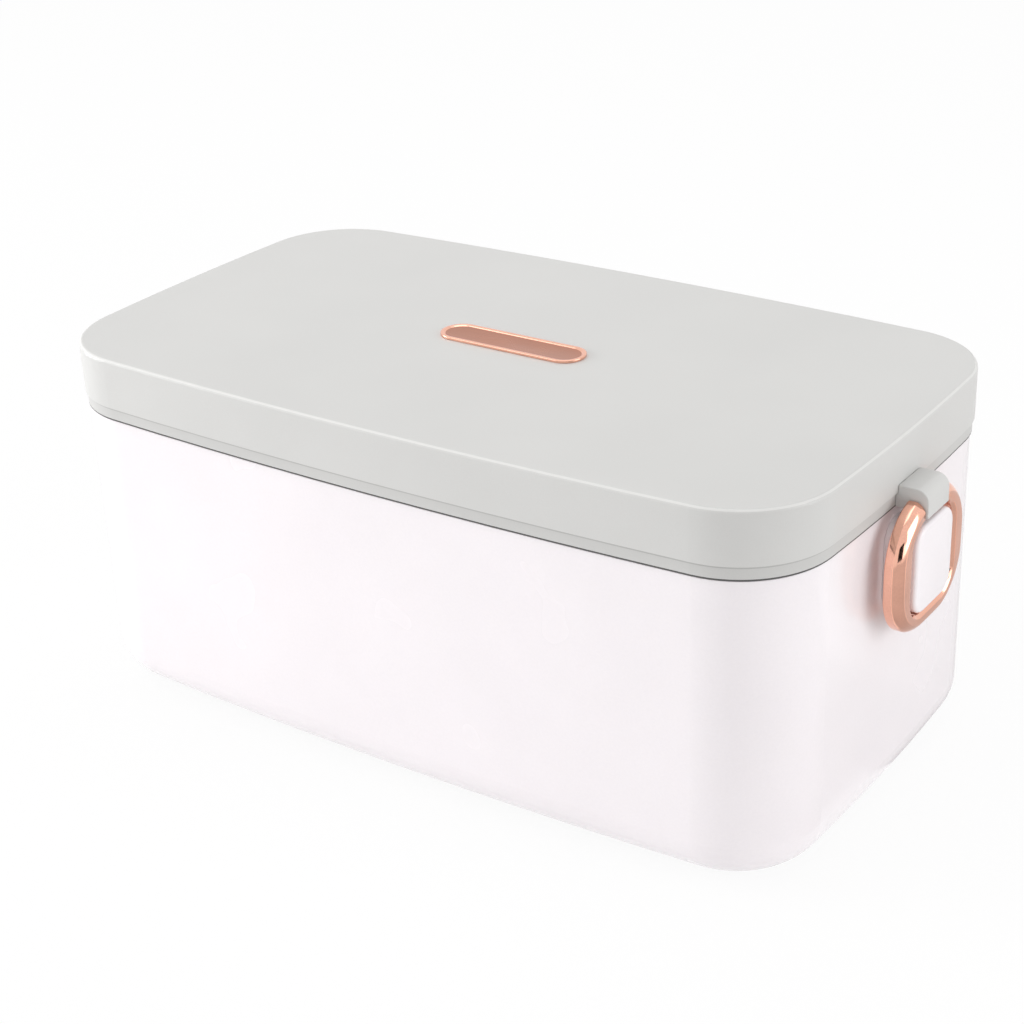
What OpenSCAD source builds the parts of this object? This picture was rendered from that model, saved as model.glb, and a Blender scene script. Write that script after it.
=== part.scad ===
/* [Outline] */
// overall length of the lid, without the latches
lid_length = 266; // [250:1:290]
// overall width of the lid
lid_width = 150; // [142:1:164]
// radius of the four upright corners
corner_radius = 29.5; // [27:0.5:33]
// how far each long side swells out between its corners
side_bow = 2.9; // [1.6:0.1:4]
// how far each short end swells out between its corners
end_bow = 1; // [0.6:0.1:2]

/* [Heights] */
// height of the rubber feet below the body
foot_height = 1.5; // [1:0.1:4]
// height of the body from its underside to its top edge
body_height = 97.8; // [90:0.1:120]
// open seam between the body and the lid
seam_gap = 0.45; // [0.3:0.05:1]
// height of the set-back band under the lid cover
band_height = 4.25; // [3.9:0.05:6]
// height of the lid cover above the band
skirt_height = 16.4; // [14:0.1:24]
// height of the heater bay from the body's underside to the pan
bay_height = 30; // [28.6:0.1:34]

/* [Walls] */
// wall thickness of the body shell
body_wall = 2.5; // [2:0.1:3.5]
// wall thickness of the lid cover's skirt
cover_wall = 2.6; // [2:0.1:3.4]
// thickness of the lid cover's top
cover_top = 2.5; // [2:0.1:4]
// how far the body stands back from the lid cover's outline
body_inset = 1.1; // [0.8:0.1:2]
// how far the band stands back from the lid cover's outline
band_inset = 0.6; // [0.3:0.1:0.7]
// radius of the body's bottom edge
bottom_radius = 13.8; // [11:0.2:14]
// radius of the lid cover's top edge
top_radius = 1.3; // [0.6:0.1:2]

/* [Badge] */
// length of the bare badge plate
badge_length = 52; // [40:1:70]
// width of the badge plate, end to end round
badge_width = 13; // [10:0.5:18]
// height of the badge above the lid
badge_height = 0.9; // [0.6:0.1:1.6]
// width of the badge's raised rim
badge_rim = 1.1; // [0.8:0.1:2]

/* [Latch] */
// width of the latch ring
ring_width = 43.5; // [43:0.5:46]
// height of the latch ring
ring_height = 40.5; // [40:0.5:43]
// width of the opening in the ring
ring_opening_width = 28; // [27:0.5:29]
// height of the opening in the ring
ring_opening_height = 29; // [28.5:0.5:30]
// outer corner radius of the ring
ring_corner = 17; // [13:0.5:17.5]
// depth of the ring from back to front
ring_depth = 5.5; // [5:0.1:6]
// gap between the lid's end and the back of the ring
ring_standoff = 3.2; // [3:0.1:3.6]
// bevel round the ring's outer front edge
ring_bevel = 2.6; // [1.2:0.1:2.7]
// bevel round the front edge of the ring's opening
ring_lip = 1; // [0.6:0.1:1.4]
// radius of the ring's round pivot bar
pivot_radius = 2.1; // [1.9:0.05:2.2]
// radial play of the pivot bar in the hook
pivot_play = 0.05; // [0.03:0.01:0.1]
// width of the hook that carries the ring
hook_width = 14; // [12:0.5:16]
// width of the catch pad inside the ring
pad_width = 24; // [20:0.5:25]
// clear gap between the pad's lower edge and the ring
pad_drop = 0.7; // [0.6:0.1:1.5]

/* [Water pan and containers] */
// sheet thickness of the water pan
pan_sheet = 0.8; // [0.6:0.1:1.2]
// side gap between the lid outline's corners and the pan
pan_margin = 7.5; // [7:0.1:9]
// bottom edge radius of the pan
pan_fillet = 7; // [5:0.5:9]
// sheet thickness of a food container
container_sheet = 0.7; // [0.5:0.1:1.2]
// how far a container's rim lies below the body's top edge
container_drop = 12.5; // [12:0.1:30]
// width of the container's rim
container_rim = 3; // [2.5:0.1:4]
// bottom edge radius of a container
container_fillet = 8; // [5:0.5:10]

/* [Hidden] */
$fn = 96;

// outline of the bowed plan: corner centres, and turn and radius of its sides
big_fn = 720;
corner_x = lid_length / 2 - corner_radius - end_bow;
corner_y = lid_width / 2 - corner_radius - side_bow;
function bow_turn(half, bow) = round(200 * atan(bow / half)) / 100;
side_turn = bow_turn(corner_x, side_bow);
end_turn = bow_turn(corner_y, end_bow);
side_r = corner_x / sin(side_turn);
end_r = corner_y / sin(end_turn);
side_mid = corner_y - side_r * cos(side_turn);
end_mid = corner_x - end_r * cos(end_turn);
side_deep = corner_y + side_bow + 1;
end_deep = 14;

// heights
base_z = foot_height;
body_top = base_z + body_height;
lid_bottom = body_top + seam_gap;
skirt_bottom = lid_bottom + band_height;
lid_top = skirt_bottom + skirt_height;
floor_thick = 3.6;
floor_top = base_z + floor_thick;
edge_r = min(bottom_radius, (corner_radius - body_inset) / 2 - 0.3);
cavity_z = base_z + edge_r + 0.6;
pan_z = base_z + bay_height;
lid_end = lid_length / 2;

// insets of the hollow body
body_inner = body_inset + body_wall;
lower_x = lid_end - end_bow - body_inner - 8;
lower_y = lid_width / 2 - side_bow - body_inner - 7;
lower_corner = corner_radius - body_inner - 7;
seat_inner = body_inner - 0.7;

// base opening and cover
recess_x = lid_end - 19;
recess_y = lid_width / 2 - 19;
recess_corner = 13;
open_x = recess_x - 5;
open_y = recess_y - 5;
open_corner = recess_corner - 5;
cover_gap = 0.3;
cover_thick = 2;
foot_radius = 6;
foot_sink = 0.8;
foot_x = corner_x - 14;
foot_y = corner_y - 7;
base_screw_x = recess_x - 7;
base_screw_y = recess_y - 7;
boss_radius = 3.8;
boss_top = base_z + 12;
screw_radius = 1.5;
screw_play = 0.05;
screw_head_r = 2.8;
screw_head_h = 1.2;

// collar and pan
pan_half_x = lid_end - end_bow - pan_margin;
pan_half_y = lid_width / 2 - side_bow - pan_margin + 0.5;
pan_corner = corner_radius - 7;
pan_top = body_top - 2.4;
lip_inset = pan_margin - 2.3;
collar_z = body_top - 8.5;
collar_top = body_top - 0.6;
collar_gap = 0.2;
collar_inner = pan_margin - 0.5 - collar_gap;
rib_height = 3.2;
rib_spread = 27;
rib_half = pan_half_y - 25;
stud_x = 42;
stud_radius = 2;

// heater
plate_radius = 34;
plate_thick = 4;
ptc_length = 62;
ptc_width = 22;
ptc_height = 7;
clamp_thick = 1.5;
clamp_z = pan_z - plate_thick - ptc_height - clamp_thick;
sensor_y = 24;

// inlet in the rear wall
inlet_half_x = 10;
inlet_half_z = 5.4;
inlet_face = lid_width / 2 - body_inset - 0.4;
wall_back = lid_width / 2 - body_inner - 0.15;
housing_half_x = 13;
housing_half_z = 6.8;
inlet_z = cavity_z + housing_half_z + 0.1;
housing_depth = 16;
pin_pitch = 8.6;
pin_radius = 1.2;
pin_length = 9;
socket_depth = 12;
socket_radius = 4.3;
lens_x = 25;
lens_radius = 2.5;
lens_play = 0.1;
lens_seat = wall_back - 0.1 - side_r * (1 - cos(asin((lens_x + 4) / side_r)));
board_y = wall_back - 14;

// latch
ring_top = lid_bottom + 3.25;
ring_mid = ring_top - ring_height / 2;
ring_open_top = ring_top - 6;
ring_open_mid = ring_open_top - ring_opening_height / 2;
ring_open_bottom = ring_open_top - ring_opening_height;
ring_open_corner = 8;
pivot_t = ring_standoff + pivot_radius;
pivot_sink = 0.55;
pivot_z = ring_top - pivot_radius - pivot_sink;
pivot_seat = 1.2;
hook_side_gap = 0.35;
hook_top = skirt_bottom + 2.4;
hook_front = ring_standoff + ring_depth + 0.6;
hook_round = 3.8;
hook_tip = lid_bottom - 1.75;
hook_back_tip = lid_bottom + 0.05;
hook_root = 0.05 - band_inset;
hook_slot = 1.8;
tab_half = 5;
tab_head_half = 7.5;
tab_gap = 0.05;
pad_bottom = ring_open_bottom + pad_drop;
pad_top = ring_open_top - 1;
pad_front = hook_front - 0.2;
pad_corner = 6;
pad_round = 1.2;
pad_screw_z = 7;
pad_screw_mid = ring_open_mid - 3;
pad_boss_r = 3.2;

// lid
liner_thick = 2.2;
seal_out = 5.9;
seal_in = 8.1;
seal_bottom = pan_top + pan_sheet + 0.3;
lid_screw_x = corner_x - 6;
lid_screw_y = corner_y + 6;
lid_boss_r = 4;

// containers, the right-hand one at +X
part_gap = 0.5;
wall_gap = 1.5;
clid_x0 = part_gap;
clid_x1 = pan_half_x - pan_sheet - wall_gap;
clid_length = clid_x1 - clid_x0;
clid_mid = (clid_x0 + clid_x1) / 2;
clid_width = 2 * (pan_half_y - pan_sheet - wall_gap);
clid_corner = 25;
clid_wall = 1.6;
clid_play = 0.4;
rim_length = clid_length - 2 * clid_wall - 2 * clid_play;
rim_width = clid_width - 2 * clid_wall - 2 * clid_play;
rim_corner = clid_corner - clid_wall - clid_play;
container_z = pan_z + pan_sheet + rib_height + 0.3;
container_top = body_top - container_drop;
cseal_h = 2;
clid_skirt = container_top - 5;
clid_plate = container_top + cseal_h;
clid_top = clid_plate + 2;
vent_radius = 7;

// a corner-to-edge section with rounded lower and upper edges
module round_section(reach, z0, z1, rb, rt) {
    translate([0, z0])
        square([reach - max(rb, rt), z1 - z0]);
    translate([0, z0 + rb])
        square([reach, z1 - z0 - rb - rt]);
    if (rb > 0) {
        translate([reach - rb, z0 + rb])
            circle(rb);
    }
    if (rt > 0) {
        translate([reach - rt, z1 - rt])
            circle(rt);
        translate([0, z1 - rt])
            square([reach - rt, rt]);
    }
}

// a corner-to-edge section with bevelled back and front edges
module bevel_section(reach, z0, z1, cb, cf) {
    polygon([
        [0, z0],
        [reach - cb, z0],
        [reach, z0 + cb],
        [reach, z1 - cf],
        [reach - cf, z1],
        [0, z1]
    ]);
}

// the same with a front edge that flares outward, for cutting openings
module flare_section(reach, z0, z1, flare) {
    polygon([
        [0, z0],
        [reach, z0],
        [reach, z1 - flare],
        [reach + flare + 0.5, z1 + 0.5],
        [0, z1 + 0.5]
    ]);
}

// straight-sided block with a section carried round its edge
module block(lx, ly, r, z0, z1) {
    hx = lx / 2 - r;
    hy = ly / 2 - r;
    for (sx = [0, 1], sy = [0, 1]) {
        mirror([sx, 0, 0])
            mirror([0, sy, 0])
                translate([hx, hy, 0])
                    rotate_extrude(angle = 90)
                        children();
    }
    rotate([90, 0, 90])
        translate([0, 0, -hx])
            linear_extrude(2 * hx)
                block_profile(hy, z0, z1)
                    children();
    rotate([90, 0, 0])
        translate([0, 0, -hy])
            linear_extrude(2 * hy)
                block_profile(hx, z0, z1)
                    children();
}

module block_profile(half, z0, z1) {
    translate([half, 0])
        children();
    mirror([1, 0])
        translate([half, 0])
            children();
    translate([-half, z0])
        square([2 * half, z1 - z0]);
}

// flat plate with round corners
module plate(lx, ly, r, z0, z1) {
    translate([0, 0, z0])
        linear_extrude(z1 - z0)
            rounded_plan(lx, ly, r);
}

module rounded_plan(lx, ly, r) {
    square([lx - 2 * r, ly], center = true);
    square([lx, ly - 2 * r], center = true);
    for (x = [-1, 1], y = [-1, 1]) {
        translate([x * (lx / 2 - r), y * (ly / 2 - r)])
            circle(r);
    }
}

// a move split in two, so that long numbers keep their last digits
module exactly(v) {
    w = [for (c = v) round(c * 100) / 100];
    translate(w)
        translate(v - w)
            children();
}

// the three kinds of sector that make up the bowed outline
module at_corners() {
    for (sx = [0, 1], sy = [0, 1]) {
        mirror([sx, 0, 0])
            mirror([0, sy, 0])
                exactly([corner_x, corner_y, 0])
                    rotate_extrude(start = end_turn, angle = 90 - side_turn - end_turn)
                        children();
    }
}

module at_long_sides() {
    for (s = [0, 1]) {
        mirror([0, s, 0])
            exactly([0, side_mid, 0])
                rotate_extrude(start = 90 - side_turn, angle = 2 * side_turn, $fn = big_fn)
                    exactly([side_r, 0])
                        children();
    }
}

module at_short_ends() {
    for (s = [0, 1]) {
        mirror([s, 0, 0])
            exactly([end_mid, 0, 0])
                rotate_extrude(start = -end_turn, angle = 2 * end_turn, $fn = big_fn)
                    exactly([end_r, 0])
                        children();
    }
}

// a round core at each corner, which ties the sectors there together
module corner_cores(radius, z0, z1) {
    quarters(corner_x, corner_y)
        translate([0, 0, z0])
            cylinder(r = radius, h = z1 - z0);
}

// bowed slab with rounded edges, set back from the lid's outline
module bowed_slab(inset, z0, z1, rb, rt) {
    reach = corner_radius - inset;
    at_corners()
        round_section(reach, z0, z1, rb, rt);
    at_long_sides() {
        round_section(reach, z0, z1, rb, rt);
        translate([-side_deep, z0])
            square([side_deep + 1, z1 - z0]);
    }
    at_short_ends() {
        round_section(reach, z0, z1, rb, rt);
        translate([-end_deep, z0])
            square([end_deep + 1, z1 - z0]);
    }
    corner_cores(reach - max(rb, rt) - 1, z0, z1);
}

// bowed slab with square edges
module bowed_prism(inset, z0, z1) {
    reach = corner_radius - inset;
    at_corners()
        translate([0, z0])
            square([reach, z1 - z0]);
    at_long_sides()
        translate([-side_deep, z0])
            square([reach + side_deep, z1 - z0]);
    at_short_ends()
        translate([-end_deep, z0])
            square([reach + end_deep, z1 - z0]);
    corner_cores(reach - 1, z0, z1);
}

module bowed_ring(outer, inner, z0, z1) {
    difference() {
        bowed_prism(outer, z0, z1);
        bowed_prism(inner, z0 - 1, z1 + 1);
    }
}

// a place at each of the four quarters
module quarters(x, y) {
    for (sx = [-1, 1], sy = [-1, 1]) {
        translate([sx * x, sy * y, 0])
            children();
    }
}

// a screw standing on its head at z = 0, with a cross recess
module screw(length) {
    difference() {
        union() {
            cylinder(r = screw_head_r, h = screw_head_h);
            cylinder(r = screw_radius, h = length);
        }
        for (turn = [0, 90]) {
            rotate([0, 0, turn])
                translate([-1.7, -0.35, -1])
                    cube([3.4, 0.7, 1.7]);
        }
    }
}

// put a piece drawn in a flat (across, up, out) frame on the right-hand end
module on_end() {
    translate([lid_end, 0, 0])
        rotate([90, 0, 90])
            children();
}

module body_shell() {
    color([0.97, 0.96, 0.96])
        difference() {
            union() {
                difference() {
                    bowed_slab(body_inset, base_z, body_top, edge_r, 0);
                    bowed_prism(body_inner, cavity_z, body_top + 1);
                    bowed_prism(seat_inner, collar_z, body_top + 1);
                    plate(2 * lower_x, 2 * lower_y, lower_corner, floor_top, cavity_z + 1);
                    plate(2 * open_x, 2 * open_y, open_corner, base_z - 1, floor_top + 1);
                    plate(2 * recess_x, 2 * recess_y, recess_corner, base_z - 1, base_z + cover_thick + 0.1);
                }
                quarters(base_screw_x, base_screw_y)
                    translate([0, 0, base_z + cover_thick + 0.1])
                        cylinder(r = boss_radius, h = boss_top - base_z - cover_thick - 0.1);
            }
            quarters(base_screw_x, base_screw_y)
                translate([0, 0, base_z])
                    cylinder(r = screw_radius + screw_play, h = boss_top - base_z - 1.5);
            translate([-inlet_half_x - 0.15, wall_back - 2, inlet_z - inlet_half_z - 0.15])
                cube([2 * inlet_half_x + 0.3, 8, 2 * inlet_half_z + 0.3]);
            translate([lens_x, wall_back - 2, inlet_z])
                rotate([-90, 0, 0])
                    cylinder(r = lens_radius + lens_play, h = 8);
            for (side = [0, 1], step = [-1, 1]) {
                mirror([side, 0, 0])
                    translate([lid_end - body_inner - 1, 0, pad_screw_mid + step * pad_screw_z])
                        rotate([0, 90, 0])
                            cylinder(r = pad_boss_r + 0.1, h = 6);
            }
        }
}

module base_cover() {
    foot_seat = foot_radius + 0.1;
    color([0.30, 0.30, 0.31])
        difference() {
            plate(
                2 * (recess_x - cover_gap),
                2 * (recess_y - cover_gap),
                recess_corner - cover_gap,
                base_z,
                base_z + cover_thick
            );
            quarters(base_screw_x, base_screw_y) {
                translate([0, 0, base_z - 1])
                    cylinder(r = screw_radius + 0.25, h = cover_thick + 2);
                translate([0, 0, base_z - 1])
                    cylinder(r = screw_head_r + 0.2, h = screw_head_h + 1.1);
            }
            quarters(foot_x, foot_y)
                translate([0, 0, base_z - 1])
                    cylinder(r = foot_seat, h = foot_sink + 1);
            for (x = [-3 : 3]) {
                translate([x * 11 - 1.5, -22, base_z - 1])
                    cube([3, 44, cover_thick + 2]);
            }
        }
}

module base_screws() {
    color([0.62, 0.62, 0.64])
        quarters(base_screw_x, base_screw_y)
            translate([0, 0, base_z + 0.1])
                screw(10);
}

module rubber_feet() {
    color([0.12, 0.12, 0.13])
        quarters(foot_x, foot_y) {
            translate([0, 0, 0.5])
                cylinder(r = foot_radius, h = foot_height + foot_sink - 0.5);
            cylinder(r1 = foot_radius - 0.5, r2 = foot_radius, h = 0.5);
        }
}

module collar_ring() {
    color([0.86, 0.86, 0.85]) {
        bowed_ring(seat_inner, collar_inner, collar_z, pan_top);
        bowed_ring(seat_inner, lip_inset - collar_gap, pan_top - 1, collar_top);
    }
}

module water_pan() {
    color([0.78, 0.79, 0.80]) {
        difference() {
            union() {
                block(2 * pan_half_x, 2 * pan_half_y, pan_corner, pan_z, pan_top + 0.1)
                    round_section(pan_corner, pan_z, pan_top + 0.1, pan_fillet, 0);
                bowed_prism(lip_inset, pan_top, pan_top + pan_sheet);
            }
            block(
                2 * (pan_half_x - pan_sheet),
                2 * (pan_half_y - pan_sheet),
                pan_corner - pan_sheet,
                pan_z + pan_sheet,
                pan_top + 2
            )
                round_section(
                    pan_corner - pan_sheet,
                    pan_z + pan_sheet,
                    pan_top + 2,
                    pan_fillet - pan_sheet,
                    0
                );
        }
        for (side = [-1, 1], step = [-1, 1]) {
            translate([side * (clid_mid + step * rib_spread) - 2, -rib_half, pan_z + pan_sheet - 0.1])
                cube([4, 2 * rib_half, rib_height + 0.1]);
        }
        for (side = [-1, 1]) {
            translate([side * stud_x, 0, clamp_z - 5])
                cylinder(r = stud_radius, h = pan_z - clamp_z + 5.2);
        }
    }
}

module heating_element() {
    color([0.70, 0.71, 0.72]) {
        translate([0, 0, pan_z - plate_thick])
            cylinder(r = plate_radius, h = plate_thick);
        translate([-ptc_length / 2, -ptc_width / 2, pan_z - plate_thick - ptc_height])
            cube([ptc_length, ptc_width, ptc_height + 1]);
        for (side = [-1, 1]) {
            translate([side * 10 - 3, ptc_width / 2 - 1, pan_z - plate_thick - 4.4])
                cube([6, 7, 0.8]);
        }
    }
}

module heater_clamp() {
    color([0.60, 0.61, 0.62])
        difference() {
            translate([-stud_x - 7, -8, clamp_z])
                cube([2 * stud_x + 14, 16, clamp_thick]);
            for (side = [-1, 1]) {
                translate([side * stud_x, 0, clamp_z - 1])
                    cylinder(r = stud_radius + 0.2, h = clamp_thick + 2);
            }
        }
}

module clamp_nuts() {
    color([0.66, 0.66, 0.68])
        for (side = [-1, 1]) {
            translate([side * stud_x, 0, clamp_z - 3])
                difference() {
                    cylinder(r = 3.9, h = 3, $fn = 6);
                    translate([0, 0, -1])
                        cylinder(r = stud_radius + 0.05, h = 5);
                }
        }
}

module thermostat() {
    bottom = pan_z - plate_thick;
    color([0.55, 0.42, 0.28]) {
        translate([0, sensor_y, bottom - 2])
            cylinder(r = 8, h = 2);
        translate([0, sensor_y, bottom - 7])
            cylinder(r = 6.6, h = 5.5);
        for (side = [-1, 1]) {
            translate([side * 4 - 1.6, sensor_y - 0.4, bottom - 12])
                cube([3.2, 0.8, 6]);
        }
    }
}

module thermal_cutout() {
    bottom = pan_z - plate_thick;
    color([0.80, 0.80, 0.76]) {
        translate([-6, -sensor_y, bottom - 2.2])
            rotate([0, 90, 0])
                cylinder(r = 2.2, h = 12);
        translate([-3, -sensor_y - 4, bottom - 1])
            cube([6, 8, 1]);
    }
}

module power_inlet() {
    back = wall_back - housing_depth;
    color([0.10, 0.10, 0.11])
        difference() {
            union() {
                translate([-inlet_half_x, wall_back - 1, inlet_z - inlet_half_z])
                    cube([2 * inlet_half_x, inlet_face - wall_back + 1, 2 * inlet_half_z]);
                translate([-housing_half_x, back, inlet_z - housing_half_z])
                    cube([2 * housing_half_x, housing_depth, 2 * housing_half_z]);
                translate([housing_half_x - 1, board_y - 4, inlet_z - housing_half_z])
                    cube([lens_x + 8 - housing_half_x, 9, 2]);
            }
            for (side = [-1, 1]) {
                translate([side * pin_pitch / 2, inlet_face - socket_depth, inlet_z])
                    rotate([-90, 0, 0])
                        cylinder(r = socket_radius, h = socket_depth + 1);
                translate([side * pin_pitch / 2, back - 1, inlet_z])
                    rotate([-90, 0, 0])
                        cylinder(r = pin_radius + 0.02, h = housing_depth + 1);
            }
            translate([-pin_pitch / 2, inlet_face - socket_depth, inlet_z - socket_radius])
                cube([pin_pitch, socket_depth + 1, 2 * socket_radius]);
        }
}

module inlet_pins() {
    back = wall_back - housing_depth;
    color([0.85, 0.80, 0.62])
        for (side = [-1, 1]) {
            translate([side * pin_pitch / 2, back - 4, inlet_z])
                rotate([-90, 0, 0])
                    cylinder(r = pin_radius, h = inlet_face - socket_depth + pin_length - back + 3);
            translate([side * pin_pitch / 2, inlet_face - socket_depth + pin_length - 1, inlet_z])
                sphere(r = pin_radius);
        }
}

module indicator_lens() {
    color([0.85, 0.25, 0.12, 0.9])
        translate([lens_x, 0, inlet_z])
            rotate([-90, 0, 0]) {
                translate([0, 0, board_y + 1.6])
                    cylinder(r = lens_radius, h = inlet_face - board_y - 1.6);
                translate([0, 0, lens_seat - 1.5])
                    cylinder(r = lens_radius + 1.2, h = 1.5);
            }
}

module indicator_board() {
    color([0.10, 0.35, 0.18])
        translate([lens_x - 8, board_y, inlet_z - housing_half_z + 2])
            cube([15, 1.6, 12]);
}

// a run of round wire through the given points
module wire(points, r) {
    for (i = [0 : len(points) - 2]) {
        a = points[i];
        run = points[i + 1] - a;
        length = norm(run);
        flat = norm([run[0], run[1]]);
        translate(a)
            rotate([0, atan2(flat, run[2]), atan2(run[1], run[0])])
                translate([0, 0, -r / 2])
                    cylinder(r = r - 0.05 * (i % 2), h = length + r);
    }
}

module internal_leads() {
    back = wall_back - housing_depth;
    tab_z = pan_z - plate_thick - 4;
    low = base_z + 8;
    lead_r = 1.1;
    short = lead_r / 2 + 0.3;
    color([0.75, 0.30, 0.18]) {
        wire(
            [
                [pin_pitch / 2, back - 4.6, inlet_z],
                [pin_pitch / 2, back - 8, inlet_z],
                [4, back - 9, low + 1],
                [4, sensor_y, low + 1],
                [4, sensor_y, pan_z - plate_thick - 12 - short]
            ],
            lead_r
        );
        wire(
            [
                [-4, sensor_y, pan_z - plate_thick - 12 - short],
                [-4, sensor_y, low],
                [-40, sensor_y - 4, low],
                [-40, -sensor_y, low],
                [-14, -sensor_y, pan_z - plate_thick - 2.2],
                [-6 - short, -sensor_y, pan_z - plate_thick - 2.2]
            ],
            lead_r
        );
        wire(
            [
                [-pin_pitch / 2, back - 4.6, inlet_z],
                [-pin_pitch / 2, back - 7, inlet_z],
                [-13, back - 12, tab_z],
                [-10, ptc_width / 2 + 6 + short, tab_z]
            ],
            lead_r
        );
    }
}

// catch pad, drawn on the right-hand end
module catch_pad() {
    height = pad_top - pad_bottom;
    middle = (pad_top + pad_bottom) / 2;
    difference() {
        union() {
            translate([0, middle, 0])
                block(pad_width, height, pad_corner, -body_inset, pad_front)
                    round_section(pad_corner, -body_inset, pad_front, 0, pad_round);
            for (step = [-1, 1]) {
                translate([0, pad_screw_mid + step * pad_screw_z, -body_inset - body_wall])
                    cylinder(r = pad_boss_r, h = body_wall + 1);
            }
        }
        for (step = [-1, 1]) {
            translate([0, pad_screw_mid + step * pad_screw_z, -body_inset - body_wall - 1])
                cylinder(r = screw_radius + screw_play, h = 10);
        }
    }
}

module catch_right() {
    color([0.96, 0.95, 0.95])
        on_end()
            catch_pad();
}

module catch_left() {
    color([0.96, 0.95, 0.95])
        mirror([1, 0, 0])
            on_end()
                catch_pad();
}

module catch_screws() {
    color([0.62, 0.62, 0.64])
        for (side = [0, 1], step = [-1, 1]) {
            mirror([side, 0, 0])
                on_end()
                    translate([0, pad_screw_mid + step * pad_screw_z, -body_inner - screw_head_h - 0.05])
                        screw(9);
        }
}

module lid_cover() {
    boss_z = skirt_bottom + 0.02;
    color([0.87, 0.87, 0.86])
        difference() {
            union() {
                difference() {
                    bowed_slab(0, skirt_bottom, lid_top, 0, top_radius);
                    bowed_prism(cover_wall, skirt_bottom - 1, lid_top - cover_top);
                }
                quarters(lid_screw_x, lid_screw_y)
                    translate([0, 0, boss_z])
                        cylinder(r = lid_boss_r, h = lid_top - cover_top - boss_z + 0.5);
            }
            quarters(lid_screw_x, lid_screw_y)
                translate([0, 0, skirt_bottom - 1])
                    cylinder(r = screw_radius + screw_play, h = 10);
            for (side = [0, 1]) {
                mirror([side, 0, 0])
                    translate([lid_end - cover_wall - 1, -tab_half - tab_gap, skirt_bottom - 1])
                        cube([cover_wall + 3, 2 * tab_half + 2 * tab_gap, 3.25]);
            }
        }
}

module lid_liner() {
    plate_z = skirt_bottom - liner_thick;
    color([0.80, 0.80, 0.79])
        difference() {
            union() {
                bowed_ring(band_inset, band_inset + 3, lid_bottom, skirt_bottom);
                bowed_prism(band_inset + 0.5, plate_z, skirt_bottom);
                bowed_ring(seal_in + 0.1, seal_in + 1.6, lid_bottom - 0.6, plate_z + 0.5);
                bowed_ring(seal_out - 1.6, seal_out - 0.1, lid_bottom + 0.2, plate_z + 0.5);
            }
            quarters(lid_screw_x, lid_screw_y) {
                translate([0, 0, plate_z - 1])
                    cylinder(r = screw_radius + 0.2, h = liner_thick + 2);
                translate([0, 0, plate_z - 1])
                    cylinder(r = screw_head_r + 0.2, h = 1.8);
            }
        }
}

module lid_seal() {
    plate_z = skirt_bottom - liner_thick;
    color([0.90, 0.90, 0.88]) {
        bowed_ring(seal_out, seal_in, seal_bottom + 1, plate_z);
        bowed_ring(seal_out + 0.6, seal_in - 0.6, seal_bottom, seal_bottom + 1.5);
    }
}

module lid_screws() {
    plate_z = skirt_bottom - liner_thick;
    color([0.62, 0.62, 0.64])
        quarters(lid_screw_x, lid_screw_y)
            translate([0, 0, plate_z - 0.4])
                screw(9);
}

module obround(length, width, h) {
    linear_extrude(h) {
        square([length - width, width], center = true);
        for (side = [-1, 1]) {
            translate([side * (length - width) / 2, 0])
                circle(width / 2);
        }
    }
}

module badge_plate() {
    color([0.86, 0.66, 0.56])
        translate([0, 0, lid_top])
            difference() {
                obround(badge_length, badge_width, badge_height);
                translate([0, 0, badge_height - 0.4])
                    obround(badge_length - 2 * badge_rim, badge_width - 2 * badge_rim, 1);
            }
}

// hook with a snap-in bore, drawn in (out, up) and carried across the end
module hook_piece() {
    straight = hook_front - hook_round;
    tall = hook_top - hook_tip;
    translate([lid_end, hook_width / 2, 0])
        rotate([90, 0, 0])
            linear_extrude(hook_width)
                difference() {
                    translate([0, hook_tip]) {
                        square([straight, tall]);
                        square([hook_front, tall - hook_round]);
                        translate([straight, tall - hook_round])
                            circle(hook_round);
                    }
                    translate([pivot_t, pivot_z])
                        circle(pivot_radius + pivot_play);
                    translate([pivot_t - hook_slot, hook_tip - 1])
                        square([2 * hook_slot, pivot_z - hook_tip + 1]);
                    translate([-1, hook_tip - 1])
                        square([pivot_t - hook_slot + 1.1, hook_back_tip - hook_tip + 1]);
                }
    translate([lid_end + hook_root, -hook_width / 2, hook_back_tip])
        cube([1 - hook_root, hook_width, skirt_bottom - 0.1 - hook_back_tip]);
    translate([lid_end - cover_wall - 0.5, -tab_half, skirt_bottom + 0.1])
        cube([cover_wall + 1, 2 * tab_half, 2]);
    translate([lid_end - cover_wall - 2.4, -tab_head_half, skirt_bottom + 0.1])
        cube([2.2, 2 * tab_head_half, 2]);
}

module hook_right() {
    color([0.86, 0.86, 0.85])
        hook_piece();
}

module hook_left() {
    color([0.86, 0.86, 0.85])
        mirror([1, 0, 0])
            hook_piece();
}

// latch ring with a round pivot bar across its top
module ring_piece() {
    front = ring_standoff + ring_depth;
    gap_half = hook_width / 2 + hook_side_gap;
    on_end() {
        difference() {
            translate([0, ring_mid, 0])
                block(ring_width, ring_height, ring_corner, ring_standoff, front)
                    bevel_section(ring_corner, ring_standoff, front, 0.6, ring_bevel);
            translate([0, ring_open_mid, 0])
                block(ring_opening_width, ring_opening_height, ring_open_corner, ring_standoff - 1, front + 0.5)
                    flare_section(ring_open_corner, ring_standoff - 1, front, ring_lip);
            translate([-gap_half, ring_open_top - 3, ring_standoff - 2])
                cube([2 * gap_half, 12, ring_depth + 4]);
        }
        translate([-gap_half - pivot_seat, pivot_z, pivot_t])
            rotate([0, 90, 0])
                cylinder(r = pivot_radius, h = 2 * (gap_half + pivot_seat));
    }
}

module latch_ring_right() {
    color([0.84, 0.64, 0.55])
        ring_piece();
}

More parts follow.
